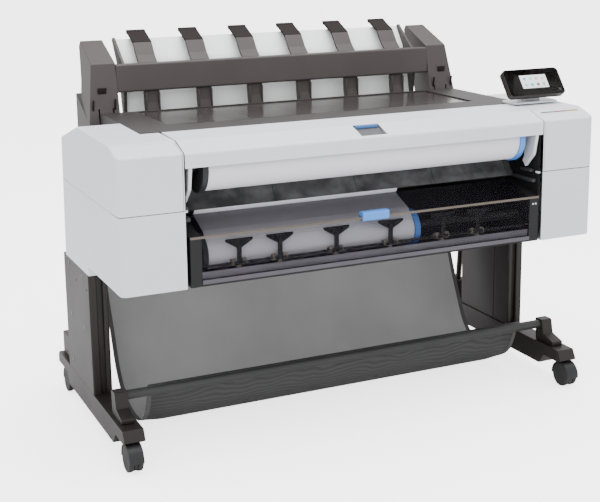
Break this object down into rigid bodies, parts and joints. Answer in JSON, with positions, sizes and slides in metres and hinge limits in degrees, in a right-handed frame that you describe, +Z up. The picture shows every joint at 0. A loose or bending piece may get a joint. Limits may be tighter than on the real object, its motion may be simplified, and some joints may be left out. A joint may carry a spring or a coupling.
{
  "type": "large format plotter",
  "caption": "Wide roll-fed plotter on a castered stand, with a roll drawer, rear output stacker, cloth catch bin and tilting touch panel.",
  "frame": {"origin": "on the floor, under the middle of the machine's box", "axes": "+X to the operator's right along the rolls, +Y to the back, +Z up"},
  "size_m": [1.39, 0.766, 1.0572],
  "materials": {
    "white_cover": "satin light grey-white moulding",
    "dark_cover": "warm dark grey-brown, fine texture",
    "stacker_dark": "warm dark grey-brown, fine texture",
    "black_plastic": "black moulding",
    "stand_paint": "dark brown powder coat",
    "steel": "plated sheet",
    "smoked": "smoked clear plastic",
    "paper": "plain white",
    "blue_plastic": "bright blue moulding",
    "tan_edge": "tan strip",
    "panel_gloss": "gloss black",
    "cloth": "open grey mesh cloth",
    "wheel": "soft tread on black hubs",
    "belt": "toothed belt",
    "deflector_grey": "mottled dark grey",
    "guide_white": "white sheet"
  },
  "bodies": {
    "frame": {"lower_cover_right": "white_cover", "lower_cover_left": "white_cover", "upper_cover_right": "white_cover", "upper_cover_left": "white_cover", "panel_pedestal": "white_cover", "top_cover": "dark_cover", "rear_cover": "dark_cover", "stacker_arms": "stacker_dark", "stacker_crossbar": "stacker_dark", "upper_fingers": "stacker_dark", "lower_fingers": "stacker_dark", "end_walls": "black_plastic", "ink_cartridges": "black_plastic", "service_station": "black_plastic", "electronics_box": "black_plastic", "power_inlet": "black_plastic", "bin_clamps": "black_plastic", "legs": "stand_paint", "leg_inner_panels": "stand_paint", "feet": "stand_paint", "stand_crossbar": "stand_paint", "bin_rod": "stand_paint", "bin_rear_frame": "stand_paint", "chassis_base": "steel", "platen": "steel", "carriage_rail": "steel", "bin_fabric": "cloth", "carriage_belt": "belt", "paper_deflector": "deflector_grey", "stacker_guide": "guide_white"},
    "caster_front_left": {"caster_hood_front_left": "black_plastic"},
    "wheels_front_left": {"caster_wheels_front_left": "wheel"},
    "caster_front_right": {"caster_hood_front_right": "black_plastic"},
    "wheels_front_right": {"caster_wheels_front_right": "wheel"},
    "caster_rear_left": {"caster_hood_rear_left": "black_plastic"},
    "wheels_rear_left": {"caster_wheels_rear_left": "wheel"},
    "caster_rear_right": {"caster_hood_rear_right": "black_plastic"},
    "wheels_rear_right": {"caster_wheels_rear_right": "wheel"},
    "roll_cover_body": {"roll_cover": "white_cover", "roll_cover_ribs": "white_cover", "roll_cover_pocket": "black_plastic"},
    "window": {"top_window": "smoked"},
    "door_left": {"ink_door_left": "white_cover"},
    "door_right": {"ink_door_right": "white_cover"},
    "drawer": {"drawer_frame": "black_plastic", "drawer_edge": "tan_edge", "drawer_window": "smoked", "drawer_grip": "blue_plastic", "paper_web": "paper"},
    "roll_2": {"roll_2_paper": "paper", "roll_2_spindle": "black_plastic"},
    "pinch": {"pinch_arms": "black_plastic"},
    "roll_1": {"roll_1_paper": "paper", "roll_1_spindle": "black_plastic"},
    "panel": {"panel_body": "black_plastic", "panel_glass": "panel_gloss"},
    "button": {"power_button": "panel_gloss"},
    "carriage_body": {"carriage": "black_plastic"},
    "pulley": {"belt_pulley": "black_plastic"},
    "feed": {"feed_roller": "steel"}
  },
  "joints": [
    {"name": "caster_front_left_swivel", "type": "hinge", "parent": "frame", "child": "caster_front_left", "pos_m": [-0.669, -0.315, 0.08], "axis": [0, 0, 1], "continuous": true},
    {"name": "caster_front_left_roll", "type": "hinge", "parent": "caster_front_left", "child": "wheels_front_left", "pos_m": [-0.669, -0.327, 0.035], "axis": [1, 0, 0], "continuous": true},
    {"name": "caster_front_right_swivel", "type": "hinge", "parent": "frame", "child": "caster_front_right", "pos_m": [0.669, -0.315, 0.08], "axis": [0, 0, 1], "continuous": true},
    {"name": "caster_front_right_roll", "type": "hinge", "parent": "caster_front_right", "child": "wheels_front_right", "pos_m": [0.669, -0.327, 0.035], "axis": [1, 0, 0], "continuous": true},
    {"name": "caster_rear_left_swivel", "type": "hinge", "parent": "frame", "child": "caster_rear_left", "pos_m": [-0.669, 0.299, 0.08], "axis": [0, 0, 1], "continuous": true},
    {"name": "caster_rear_left_roll", "type": "hinge", "parent": "caster_rear_left", "child": "wheels_rear_left", "pos_m": [-0.669, 0.287, 0.035], "axis": [1, 0, 0], "continuous": true},
    {"name": "caster_rear_right_swivel", "type": "hinge", "parent": "frame", "child": "caster_rear_right", "pos_m": [0.669, 0.299, 0.08], "axis": [0, 0, 1], "continuous": true},
    {"name": "caster_rear_right_roll", "type": "hinge", "parent": "caster_rear_right", "child": "wheels_rear_right", "pos_m": [0.669, 0.287, 0.035], "axis": [1, 0, 0], "continuous": true},
    {"name": "roll_cover_hinge", "type": "hinge", "parent": "frame", "child": "roll_cover_body", "pos_m": [0, -0.208, 0.842], "axis": [-1, 0, 0], "range_deg": [0, 20]},
    {"name": "window_hinge", "type": "hinge", "parent": "frame", "child": "window", "pos_m": [0, 0.1735, 0.8385], "axis": [-1, 0, 0], "range_deg": [0, 60]},
    {"name": "ink_door_left_hinge", "type": "hinge", "parent": "frame", "child": "door_left", "pos_m": [-0.61, -0.381, 0.675], "axis": [1, 0, 0], "range_deg": [0, 70]},
    {"name": "ink_door_right_hinge", "type": "hinge", "parent": "frame", "child": "door_right", "pos_m": [0.61, -0.381, 0.675], "axis": [1, 0, 0], "range_deg": [0, 70]},
    {"name": "drawer_slide", "type": "slide", "parent": "frame", "child": "drawer", "axis": [0, -1, 0], "range_m": [0, 0.25]},
    {"name": "roll_2_spin", "type": "hinge", "parent": "drawer", "child": "roll_2", "pos_m": [0, -0.318, 0.545], "axis": [1, 0, 0], "continuous": true},
    {"name": "pinch_arms_swing", "type": "hinge", "parent": "drawer", "child": "pinch", "pos_m": [0, -0.372, 0.524], "axis": [-1, 0, 0], "range_deg": [0, 6]},
    {"name": "roll_1_spin", "type": "hinge", "parent": "frame", "child": "roll_1", "pos_m": [0, -0.305, 0.765], "axis": [1, 0, 0], "continuous": true},
    {"name": "panel_tilt", "type": "hinge", "parent": "frame", "child": "panel", "pos_m": [0.6, -0.20204, 0.88545], "axis": [1, 0, 0], "range_deg": [-10, 10]},
    {"name": "power_button_press", "type": "slide", "parent": "panel", "child": "button", "axis": [0, 0.7986, -0.6018], "range_m": [0, 0.001], "stiffness_N_per_m": 400},
    {"name": "carriage_travel", "type": "slide", "parent": "frame", "child": "carriage_body", "axis": [1, 0, 0], "range_m": [-0.43, 0.43]},
    {"name": "belt_pulley_spin", "type": "hinge", "parent": "frame", "child": "pulley", "pos_m": [0.5, 0.056, 0.805], "axis": [0, 0, 1], "continuous": true},
    {"name": "feed_roller_spin", "type": "hinge", "parent": "frame", "child": "feed", "pos_m": [0, -0.176, 0.75], "axis": [1, 0, 0], "continuous": true}
  ],
  "couplings": [
    {"joint": "belt_pulley_spin", "follows": "carriage_travel", "rad_per_m": 125}
  ]
}
